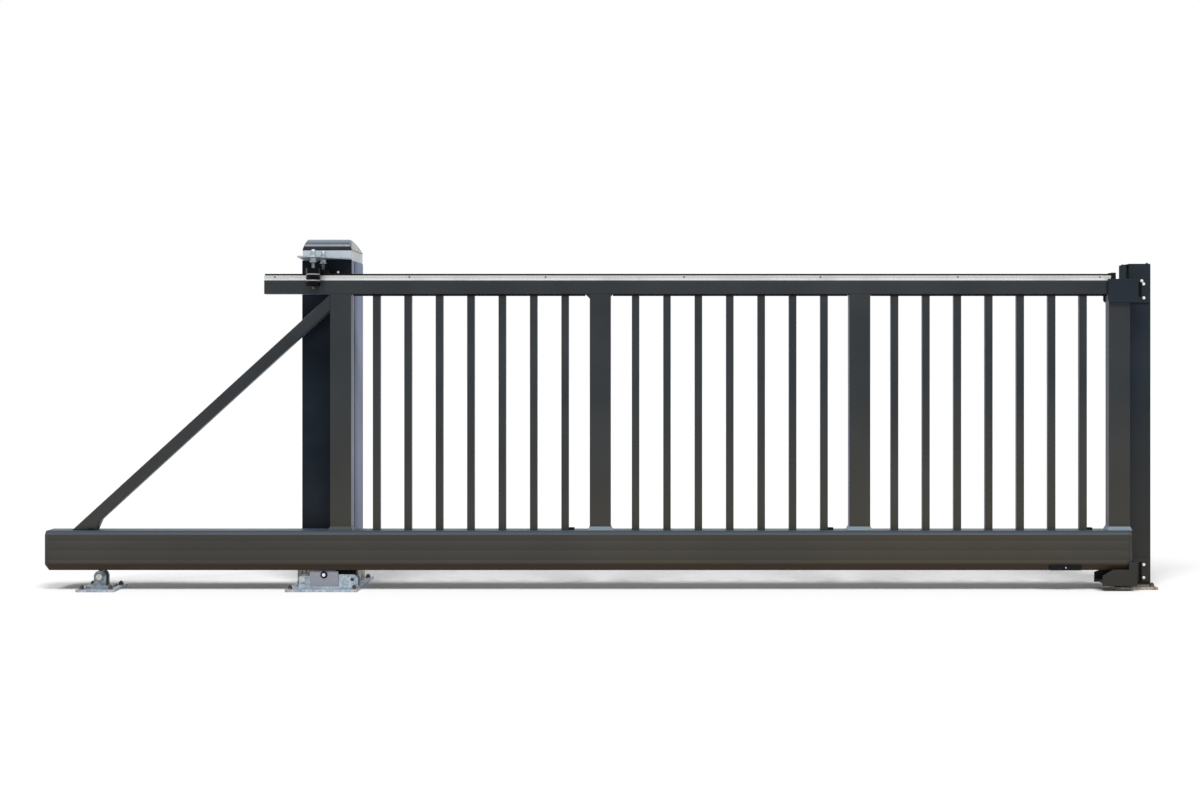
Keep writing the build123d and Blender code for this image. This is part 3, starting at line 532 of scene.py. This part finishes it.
def roundEdges(shape, radiusMm, axes="xyz"):
    chosen = []
    for edge in shape.edges:
        run = (edge.verts[1].co - edge.verts[0].co).normalized()
        along = {"x": abs(run.x), "y": abs(run.y), "z": abs(run.z)}
        straight = axes == "xyz" or sum(along[a] ** 2 for a in axes) > making["alongShare"]
        bends = len(edge.link_faces) == 2 and edge.calc_face_angle(0) > radians(making["roundAboveDegrees"])
        if straight and bends:
            chosen.append(edge)
    bmesh.ops.bevel(
        shape, geom=chosen, offset=radiusMm * mm, offset_type="OFFSET", segments=2, profile=0.5,
        affect="EDGES", clamp_overlap=True, material=-1,
    )
    return shape


def drawLines(shape, faceY, lines):  # cuts each line out of both faces and presses its middle in
    for height in lines["heightsM"]:
        for offset in (-lines["halfWidthMm"] * mm, 0, lines["halfWidthMm"] * mm):
            bmesh.ops.bisect_plane(
                shape, geom=shape.verts[:] + shape.edges[:] + shape.faces[:], dist=making["cutMm"] * mm,
                plane_co=(0, 0, height + offset), plane_no=(0, 0, 1),
            )
        for vertex in shape.verts:
            onLine = abs(vertex.co.z - height) < joinDistance
            if onLine and abs(vertex.co.y) > faceY - joinDistance:
                vertex.co.y -= lines["depthMm"] * mm * (1 if vertex.co.y > 0 else -1)


for material, names in finishes.items():
    for name in names:
        for holder in nodes[name].material_slots:
            holder.material = material

dressed = 0
for material, names in finishes.items():
    for name, radius in names.items():
        if name in hiddenInBeam or name in ownPiece:
            continue
        shape = cleanCopy(name)
        low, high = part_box(name)
        if name in tallerMm:
            top = [v for v in shape.verts if v.co.z > high.z - levelDistance]
            bmesh.ops.translate(shape, verts=top, vec=(0, 0, tallerMm[name] * mm))
        roundEdges(shape, radius, lengthwise.get(name, "xyz"))
        if name in dieLines:
            drawLines(shape, high.y, dieLines[name])
        piece = finishPiece(
            name + "_dressed", shape, nodes[name]["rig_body"], material,
            making["crispDressedDegrees"],
        )
        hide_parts(name)
        dressed += 1

# The collar nearest the cabinet gets no painted sky reflection: it keeps its stile's dark coat
darkCollar = {"reachM": 0.1}
collars = bpy.data.objects["stile_feet_dressed"].data
collars.materials.append(coatLeaf)
for polygon in collars.polygons:
    if polygon.center.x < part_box("stile_left")[1].x + darkCollar["reachM"]:
        polygon.material_index = 1
print("edges rounded on", dressed, "nodes")


def stamp(target, part, places):  # copies a small shape to each place
    for place in places:
        copy = part.copy()
        copy.transform(place)
        carrier = bpy.data.meshes.new("carrier")
        copy.to_mesh(carrier)
        target.from_mesh(carrier)
        bpy.data.meshes.remove(carrier)
        copy.free()
    part.free()


def lathe(profile, steps=20):  # radius and height in mm, turned about Z
    shape = bmesh.new()
    points = [shape.verts.new((radius * mm, 0, height * mm)) for radius, height in profile]
    edges = [shape.edges.new(pair) for pair in zip(points, points[1:])]
    bmesh.ops.spin(
        shape, geom=points + edges, cent=(0, 0, 0), axis=(0, 0, 1), dvec=(0, 0, 0), angle=2 * pi,
        steps=steps, use_merge=True, use_duplicate=False,
    )
    return settle(shape)


def hexagon(acrossFlats, bottom, top, chamfer=1.0):
    shape = bmesh.new()
    corner = acrossFlats / 2 / cos(pi / 6) * mm
    bmesh.ops.create_cone(
        shape, cap_ends=True, segments=6, radius1=corner, radius2=corner, depth=(top - bottom) * mm,
        matrix=Matrix.Translation((0, 0, (top + bottom) / 2 * mm)),
    )
    rims = [e for e in shape.edges if abs(e.verts[0].co.z - e.verts[1].co.z) < levelDistance]
    bmesh.ops.bevel(
        shape, geom=rims, offset=chamfer * mm, segments=2, profile=0.5, affect="EDGES", material=-1,
    )
    return shape


threadDepthMm = 0.8


def threadProfile(radius, bottom, top, pitch):  # rings that read as a rolled thread
    root = radius - threadDepthMm
    count = int((top - bottom) / pitch)
    rings = [(0, bottom), (root, bottom)]
    for i in range(count):
        rings += [(radius, bottom + (i + 0.5) * pitch), (root, bottom + (i + 1) * pitch)]
    return rings + [(0, bottom + count * pitch)]


def facingFront(place):  # turns a part that is built up along Z to the front, and takes it to its place
    turn = Vector((0, 0, 1)).rotation_difference(Vector((0, -1, 0))).to_matrix().to_4x4()
    return Matrix.Translation(place) @ turn


# Guide rollers: turned nylon with soft rims and two grooves, whose lower slopes are painted pale as a
# painted highlight
roller = {
    "groovesMm": (24, 53), "grooveSlopeMm": 6.5, "grooveFlatMm": 1.5, "grooveLipMm": 1,
    "grooveDepthMm": 3.2, "rimMm": 3.0, "rimSoftness": 0.3, "boreRadiusMm": 8.1, "steps": 40,
    "glintFacingUp": 0.2,  # how far a face has to look up to get the painted highlight
}
rim, bore, slope = roller["rimMm"], roller["boreRadiusMm"], roller["grooveSlopeMm"]
soft = rim * roller["rimSoftness"]

for nodeName, body in (("guide_roller_front", "front_roller"), ("guide_roller_rear", "rear_roller")):
    low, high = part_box(nodeName)
    radius = (high.x - low.x) / 2 / mm
    tall = (high.z - low.z) / mm
    inner = radius - roller["grooveDepthMm"]
    profile = [(bore, 0), (radius - rim, 0), (radius - soft, soft), (radius, rim)]
    for bottom in roller["groovesMm"]:
        lip = bottom + slope + roller["grooveFlatMm"]
        profile += [(radius, bottom), (inner, bottom + slope), (inner, lip)]
        profile += [(radius, lip + roller["grooveLipMm"])]
    profile += [(radius, tall - rim), (radius - soft, tall - soft), (radius - rim, tall), (bore, tall)]
    wheel = lathe(profile + [(bore, 0)], roller["steps"])
    centre = (low + high) / 2
    wheel.transform(Matrix.Translation((centre.x, centre.y, low.z)))
    piece = finishPiece(nodeName + "_turned", wheel, body, nylon)
    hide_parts(nodeName)
    # painted highlight on the upward slopes of the grooves
    piece.data.materials.append(nylonGlint)
    for polygon in piece.data.polygons:
        up = (polygon.center.z - low.z) / mm
        onSlope = any(bottom < up < bottom + slope for bottom in roller["groovesMm"])
        if onSlope and polygon.normal.z > roller["glintFacingUp"]:
            polygon.material_index = 1
print("guide rollers turned")

# Guide spindles: threaded rod, flange and nut below the arm, flange and domed cap nut above it
spindle = {
    "rodMm": 8, "pitchMm": 2.0, "rodPastMm": 4, "rollerGapMm": 0.3, "sunkMm": 1,
    "tipRadiusMm": 5, "tipChamferMm": (1, 1.2),
    "flangeMm": 17, "flangeThickMm": 7, "flangeRimMm": 1.2, "flangeSlopeMm": (3, 2), "capSlopeMm": 2.5,
    "nutMm": 24, "nutHighMm": 16, "capNutHighMm": 13, "nutChamferMm": 1.6,
    "domeMm": 11.4, "domeUprightMm": 3,
    # shares of the dome's radius, and how far each is below its top in mm
    "domeCurve": ((0.93, 6.2), (0.78, 3.2), (0.5, 1.1), (0.2, 0.2)),
    "endNutMm": 19, "endNutHighMm": 5, "endNutChamferMm": 1.2,
}
boltLow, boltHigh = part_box("guide_bolts")
armLow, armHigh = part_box("guide_arm_plate")
spindlePlaces = []
for nodeName in ("guide_roller_front", "guide_roller_rear"):
    low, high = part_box(nodeName)
    spindlePlaces.append(Matrix.Translation(((low.x + high.x) / 2, (low.y + high.y) / 2, armLow.z)))
armThick = (armHigh.z - armLow.z) / mm  # all heights are in mm above the arm's underside
rodBottom = (boltLow.z - armLow.z) / mm
underRoller = (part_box("guide_roller_front")[0].z - armLow.z) / mm - spindle["rollerGapMm"]
rodTop = underRoller - spindle["rodPastMm"]
capTop = (boltHigh.z - armLow.z) / mm
nutBase = -spindle["nutHighMm"]
flangeBase = nutBase - spindle["flangeThickMm"]
capBase = armThick + spindle["flangeThickMm"]
domeBase = capBase + spindle["capNutHighMm"]
flange, flangeRim, dome = spindle["flangeMm"], spindle["flangeRimMm"], spindle["domeMm"]
slopeIn, slopeDown = spindle["flangeSlopeMm"]
capSlope, sunk = spindle["capSlopeMm"], spindle["sunkMm"]
spindles = bmesh.new()
for part in (
    lathe(threadProfile(spindle["rodMm"], rodTop, flangeBase + sunk, spindle["pitchMm"])),
    lathe([
        (0, flangeBase), (flange - flangeRim, flangeBase), (flange, flangeBase + flangeRim),
        (flange, nutBase - slopeDown), (flange - slopeIn, nutBase), (0, nutBase),
    ], steps=32),
    hexagon(spindle["nutMm"], nutBase, 0, spindle["nutChamferMm"]),
    lathe([
        (0, armThick), (flange, armThick), (flange, capBase - capSlope), (flange - capSlope, capBase),
        (0, capBase),
    ], steps=32),
    hexagon(spindle["nutMm"], capBase, domeBase, spindle["nutChamferMm"]),
    lathe([
        (0, domeBase - sunk), (dome, domeBase - sunk), (dome, domeBase + spindle["domeUprightMm"]),
        *((dome * share, capTop - drop) for share, drop in spindle["domeCurve"]), (0, capTop),
    ], steps=28),
):
    stamp(spindles, part, spindlePlaces)
piece = finishPiece("guide_spindles", spindles, "ground_frame", platedGrey)
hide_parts("guide_bolts")

endNuts = bmesh.new()
endNutBase = underRoller - spindle["endNutHighMm"]
endNut = hexagon(spindle["endNutMm"], endNutBase, underRoller, spindle["endNutChamferMm"])
stamp(endNuts, endNut, spindlePlaces)
finishPiece("spindle_end_nuts", endNuts, "ground_frame", platedDull)

tips = bmesh.new()
tip = spindle["tipRadiusMm"]
tipIn, tipUp = spindle["tipChamferMm"]
stamp(tips, lathe([
    (0, rodBottom), (tip - tipIn, rodBottom), (tip, rodBottom + tipUp), (tip, rodTop), (0, rodTop),
]), spindlePlaces)
finishPiece("spindle_tips", tips, "ground_frame", rusted)
print("spindles threaded")

# Anchors: a stud, a nut and a rusty washer at each hole of the three ground plates
anchor = {
    "studRadiusMm": 6, "studTopMm": 19, "studSunkMm": 0.5, "pitchMm": 1.75,
    "nutMm": 19, "nutHighMm": 10.5, "nutChamferMm": 1.4,
    "washerRadiusMm": 13.5, "washerMm": 2.6, "washerHoleMm": 5, "washerChamferMm": (0.6, 0.5),
    "firstTurnDegrees": 17, "turnStepDegrees": 31,
}

anchorPoints = []
for plateName, mountName in (
    ("main_base_plate", "main_anchors"),
    ("rear_base_plate", "rear_anchors"),
    ("post_base_plate", "post_anchors"),
):
    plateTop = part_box(plateName)[1].z
    mount = [m for m in frame["record"]["mounts"] if m["name"] == mountName][0]
    centre = mount["pos_m"]
    halfX = mount["dims"]["spacing_x_mm"] / 2 * mm
    halfY = mount["dims"]["spacing_y_mm"] / 2 * mm
    for i in (-1, 1):
        for j in (-1, 1):
            anchorPoints.append(Vector((centre[0] + i * halfX, centre[1] + j * halfY, plateTop)))
turned = []
for i, point in enumerate(anchorPoints):  # no two nuts end up at the same angle
    angle = radians(anchor["firstTurnDegrees"] + anchor["turnStepDegrees"] * i)
    turned.append(Matrix.Translation(point) @ Matrix.Rotation(angle, 4, "Z"))

washers = bmesh.new()
washerTop, washerEdge, hole = anchor["washerMm"], anchor["washerRadiusMm"], anchor["washerHoleMm"]
edgeIn, edgeDown = anchor["washerChamferMm"]
stamp(washers, lathe([
    (hole, 0), (washerEdge, 0), (washerEdge, washerTop - edgeDown), (washerEdge - edgeIn, washerTop),
    (hole, washerTop), (hole, 0),
], steps=24), turned)
finishPiece("anchor_washers", washers, "ground_frame", rusted)

nuts = bmesh.new()
nutTop = washerTop + anchor["nutHighMm"]
stamp(nuts, hexagon(anchor["nutMm"], washerTop, nutTop, anchor["nutChamferMm"]), turned)
finishPiece("anchor_nuts", nuts, "ground_frame", platedDull)

studs = bmesh.new()
threadBottom = nutTop - anchor["studSunkMm"]
thread = threadProfile(anchor["studRadiusMm"], threadBottom, anchor["studTopMm"], anchor["pitchMm"])
stamp(studs, lathe(thread, steps=12), turned)
finishPiece("anchor_studs", studs, "ground_frame", platedDull)
print("anchors set:", len(anchorPoints))

# The bright turned end of the carriage's pivot pin, in the middle of its ring
pinEnd = {"radiusMm": 8, "proudMm": 1.0, "sunkMm": 1, "rimShare": 0.4, "flatShare": 0.8}
pivotLow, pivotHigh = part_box("carriage_pivot")
pinRadius, pinProud, pinSunk = pinEnd["radiusMm"], pinEnd["proudMm"], -pinEnd["sunkMm"]
pinEnds = bmesh.new()
stamp(pinEnds, lathe([
    (0, pinSunk), (pinRadius, pinSunk), (pinRadius, pinProud * pinEnd["rimShare"]),
    (pinRadius * pinEnd["flatShare"], pinProud), (0, pinProud),
], steps=24), [facingFront((0, pivotLow.y, (pivotLow.z + pivotHigh.z) / 2))])
finishPiece("pivot_pin_end", pinEnds, "ground_frame", platedBright)

# Pan-head screws: along the running strip (browned by rust), in the limit block, the post cap and the
# guide's mounting plate
stripScrew = {
    "radiusMm": 4.5, "highMm": 2.0, "slotMm": 1.6, "sunkMm": 1, "belowTopMm": 7,
    "placesMm": (-237, 403, 1052, 1712, 2361, 3016, 3692),
}
blockScrew = {"radiusMm": 4, "highMm": 2.2, "slotMm": 1.4}
capScrew = {"radiusMm": 6, "highMm": 5, "slotMm": 2, "insetMm": 14}
mountScrew = {"radiusMm": 7, "highMm": 4.5, "slotMm": 2.6, "xMm": 38, "aboveFootMm": 11}
headForm = {"slotDepthMm": 0.9, "sunkMm": 0.2, "flatShare": 0.7, "rimShare": 0.35}


def panHead(screw):
    radius, height, slot = screw["radiusMm"], screw["highMm"], screw["slotMm"]
    slotFloor, sunk = height - headForm["slotDepthMm"], -headForm["sunkMm"]
    return lathe([
        (0, slotFloor), (slot, slotFloor), (slot, height), (radius * headForm["flatShare"], height),
        (radius, height * headForm["rimShare"]), (radius, sunk), (0, sunk),
    ], steps=16)


stripLow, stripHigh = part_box("running_strip")
screwY = stripLow.y + stripScrew["sunkMm"] * mm
screwZ = stripHigh.z - stripScrew["belowTopMm"] * mm
stripScrews = bmesh.new()
stamp(stripScrews, panHead(stripScrew), [
    facingFront((x * mm, screwY, screwZ)) for x in stripScrew["placesMm"]
])
finishPiece("strip_screws", stripScrews, "leaf", rusted)

blockLow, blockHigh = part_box("limit_block")
blockMiddle = (blockLow + blockHigh) / 2
blockScrews = bmesh.new()
stamp(blockScrews, panHead(blockScrew), [facingFront((blockMiddle.x, blockLow.y, blockMiddle.z))])
finishPiece("leaf_screws", blockScrews, "leaf", plated)

capLow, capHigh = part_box("post_cap")
capInset = capScrew["insetMm"] * mm
capScrews = bmesh.new()
stamp(capScrews, panHead(capScrew), [
    Matrix.Translation((capLow.x + capInset, capHigh.y - capInset, capHigh.z)),
    Matrix.Translation((capHigh.x - capInset, capLow.y + capInset, capHigh.z)),
])
finishPiece("cap_screws", capScrews, "ground_frame", coatPost)

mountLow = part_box("guide_mount_plate")[0]
mountScrewZ = mountLow.z + mountScrew["aboveFootMm"] * mm
mountScrews = bmesh.new()
stamp(mountScrews, panHead(mountScrew), [
    facingFront((mountScrew["xMm"] * mm, mountLow.y, mountScrewZ)),
])
finishPiece("mount_screw", mountScrews, "ground_frame", platedBright)

# Hexagon bolts that hold both catches on the post, heads towards the front
catchBolt = {
    "acrossFlatsMm": 11, "headTopMm": 6, "washerRadiusMm": 7.5, "washerMm": 1.6,
    # from the right end, and down from the top of the catch (below 0) or up from its foot
    "topCatchMm": ((39, -5), (30, -20), (29, 24)),
    "bottomCatchMm": ((29, -30), (29, 20)),
}
catchPlateMm = 6  # how thick the catches' plates are on the post
topLow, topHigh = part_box("top_catch")
bottomLow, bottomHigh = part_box("bottom_catch")
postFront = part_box("closing_post")[0].y
plateFront = postFront - catchPlateMm * mm
boltPlaces = []
for low, high, key in ((topLow, topHigh, "topCatchMm"), (bottomLow, bottomHigh, "bottomCatchMm")):
    for fromRight, up in catchBolt[key]:
        boltZ = (high.z if up < 0 else low.z) + up * mm
        boltPlaces.append(facingFront((topHigh.x - fromRight * mm, plateFront, boltZ)))
boltWasher, boltSeat = catchBolt["washerRadiusMm"], catchBolt["washerMm"]
catchBolts = bmesh.new()
stamp(catchBolts, lathe([(0, 0), (boltWasher, 0), (boltWasher, boltSeat), (0, boltSeat)]), boltPlaces)
stamp(catchBolts, hexagon(catchBolt["acrossFlatsMm"], boltSeat, catchBolt["headTopMm"]), boltPlaces)
finishPiece("catch_bolts", catchBolts, "ground_frame", platedBright)
print("screws and bolts set")


def addBlock(shape, low, high):  # corners in metres
    low, high = Vector(low), Vector(high)
    place = Matrix.Translation((low + high) / 2) @ Matrix.Diagonal((*(high - low), 1))
    bmesh.ops.create_cube(shape, size=1, matrix=place)


def finishBlocks(name, shape, radiusMm, body, material):
    roundEdges(shape, radiusMm)
    finishPiece(name, shape, body, material, making["crispDressedDegrees"])


# Black plugs at the foot of the last picket of each bay and beside the toe of the brace
footPlug = {"lengthMm": 27, "highMm": 11, "depthMm": 24, "radiusMm": 2, "toeRunMm": 79, "toeProudMm": 3}
plugs = bmesh.new()
plugLong, plugDeep, plugHigh = (footPlug[key] * mm for key in ("lengthMm", "depthMm", "highMm"))
for bayName in ("pickets_bay_1", "pickets_bay_2", "pickets_bay_3"):
    low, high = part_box(bayName)
    addBlock(plugs, (high.x, -plugDeep / 2, low.z), (high.x + plugLong, plugDeep / 2, low.z + plugHigh))
low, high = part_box("diagonal_brace")
toe = low.x + footPlug["toeRunMm"] * mm
toeFront = low.y - footPlug["toeProudMm"] * mm
addBlock(plugs, (toe, toeFront, low.z), (toe + plugLong, toeFront + plugDeep, low.z + plugHigh))
finishBlocks("foot_plugs", plugs, footPlug["radiusMm"], "leaf", blackPlastic)

# Black blocks that stand for shade: one beside the carriage's housing, painted shade in the gap under the
# beam, and a strip down each catch, a painted shadow where the catch shades the post
# a black block beside the housing where the gap under the beam lies in shade: painted shade
carriageShade = {"lengthMm": 80, "halfDepthMm": 30, "bottomM": 0.07, "topM": 0.0915, "radiusMm": 3}
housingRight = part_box("carriage_housing")[1].x
carriageShadeBlocks = bmesh.new()
addBlock(
    carriageShadeBlocks, (housingRight, -carriageShade["halfDepthMm"] * mm, carriageShade["bottomM"]),
    (housingRight + carriageShade["lengthMm"] * mm, carriageShade["halfDepthMm"] * mm, carriageShade["topM"]),
)
finishBlocks("carriage_shade_block", carriageShadeBlocks, carriageShade["radiusMm"], "ground_frame", shadeBlack)

# black strips down the catches where each catch's shadow falls on the post: painted shadow
catchShadow = {
    "fromRightMm": 53, "widthMm": 14, "thickMm": 2, "radiusMm": 0.7,
    "heightsM": ((1.402, 1.472), (0.03, 0.121)),
}
catchShadowStrips = bmesh.new()
catchShadowLeft = topHigh.x - catchShadow["fromRightMm"] * mm
for bottom, top in catchShadow["heightsM"]:
    addBlock(
        catchShadowStrips, (catchShadowLeft, plateFront - catchShadow["thickMm"] * mm, bottom),
        (catchShadowLeft + catchShadow["widthMm"] * mm, plateFront, top),
    )
finishBlocks("catch_shadow_strips", catchShadowStrips, catchShadow["radiusMm"], "ground_frame", shadeBlack)
print("plugs and rubber set")

# White paper floor and a white surround, lit by two broad lamps; the object's shadow stays on the floor
studio = {
    "floorColour": "#ffffff", "floorSizeM": 60, "floorPlaceM": (1.3, 0, -0.0005),
    "fill": 0.28,
    "sunSize": 20,
    "keyFrom": (0.3, -0.66, 1.0), "keyStrength": 1.6,
    "sideFrom": (-0.28, -0.6, 1.0), "sideStrength": 1.35,
}

floorShape = bmesh.new()
bmesh.ops.create_grid(
    floorShape, x_segments=1, y_segments=1, size=studio["floorSizeM"],
    matrix=Matrix.Translation(studio["floorPlaceM"]),
)
floorMesh = bpy.data.meshes.new("floor")
floorShape.to_mesh(floorMesh)
floorShape.free()
floor = bpy.data.objects.new("floor", floorMesh)
bpy.context.scene.collection.objects.link(floor)
paper, paperTree = startFinish("paperFloor")
paperShader = addNode(paperTree, "ShaderNodeBsdfPrincipled", {
    "Base Color": toLinear(studio["floorColour"]), "Roughness": 0.9, "Specular IOR Level": 0.0,
})
addNode(paperTree, "ShaderNodeOutputMaterial", {"Surface": paperShader.outputs["BSDF"]})
floorMesh.materials.append(paper)

world = bpy.data.worlds.new("studio")
bpy.context.scene.world = world
world.use_nodes = True
sky = world.node_tree
sky.nodes.clear()
ray = addNode(sky, "ShaderNodeLightPath").outputs
mirrored = addNode(sky, "ShaderNodeMath", {
    0: ray["Is Camera Ray"], 1: ray["Is Glossy Ray"],
}, operation="MAXIMUM").outputs[0]
showsWhite = addNode(sky, "ShaderNodeMath", {
    0: mirrored, 1: ray["Is Transmission Ray"],
}, operation="MAXIMUM").outputs[0]
ambient = addNode(sky, "ShaderNodeBackground", {"Color": (1, 1, 1, 1), "Strength": studio["fill"]})
backdrop = addNode(sky, "ShaderNodeBackground", {"Color": (1, 1, 1, 1), "Strength": 1.0})
surround = addNode(sky, "ShaderNodeMixShader", {
    0: showsWhite, 1: ambient.outputs[0], 2: backdrop.outputs[0],
}).outputs[0]
addNode(sky, "ShaderNodeOutputWorld", {"Surface": surround})

for name in ("key", "side"):
    lamp = bpy.data.objects.new(name, bpy.data.lights.new(name, "SUN"))
    bpy.context.scene.collection.objects.link(lamp)
    lamp.data.energy = studio[name + "Strength"]
    lamp.data.angle = radians(studio["sunSize"])
    lamp.rotation_euler = Vector(studio[name + "From"]).to_track_quat("Z", "Y").to_euler()
print("floor, surround and lamps set")
